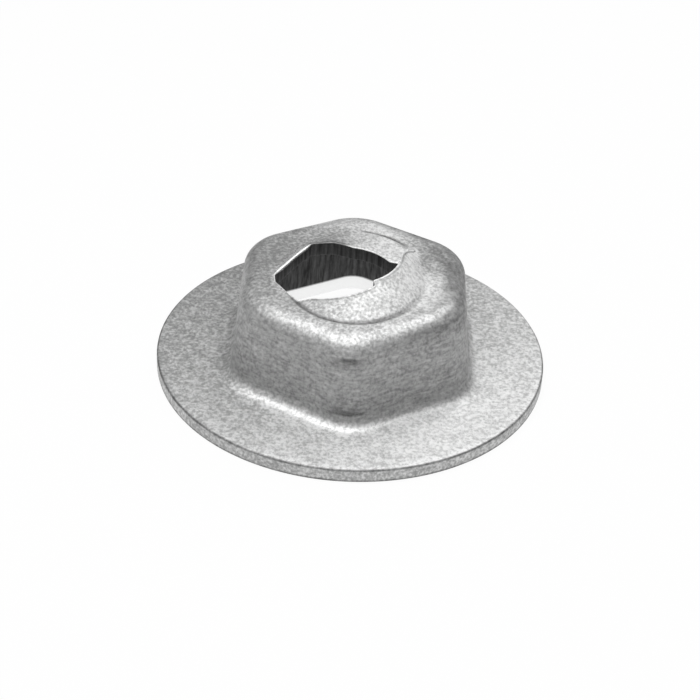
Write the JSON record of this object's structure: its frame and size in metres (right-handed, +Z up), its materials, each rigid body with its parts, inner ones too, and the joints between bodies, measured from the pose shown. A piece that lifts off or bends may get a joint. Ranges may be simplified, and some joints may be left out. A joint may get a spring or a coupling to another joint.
{
  "type": "thread cutting nut",
  "caption": "Pressed sheet-steel hexagon nut on a round washer flange, with a helical lip in its crown that cuts its own thread on a plain stud.",
  "frame": {"origin": "centre of the flat seat under the washer flange", "axes": "+Z up the stud, from the seat towards the crown; two corners of the hexagon lie on the Y axis"},
  "size_m": [0.0158, 0.0158, 0.0053],
  "materials": {
    "zinc_plate": "dull grainy zinc plate"
  },
  "bodies": {
    "root": {"thread_cutting_nut": "zinc_plate"}
  },
  "joints": []
}
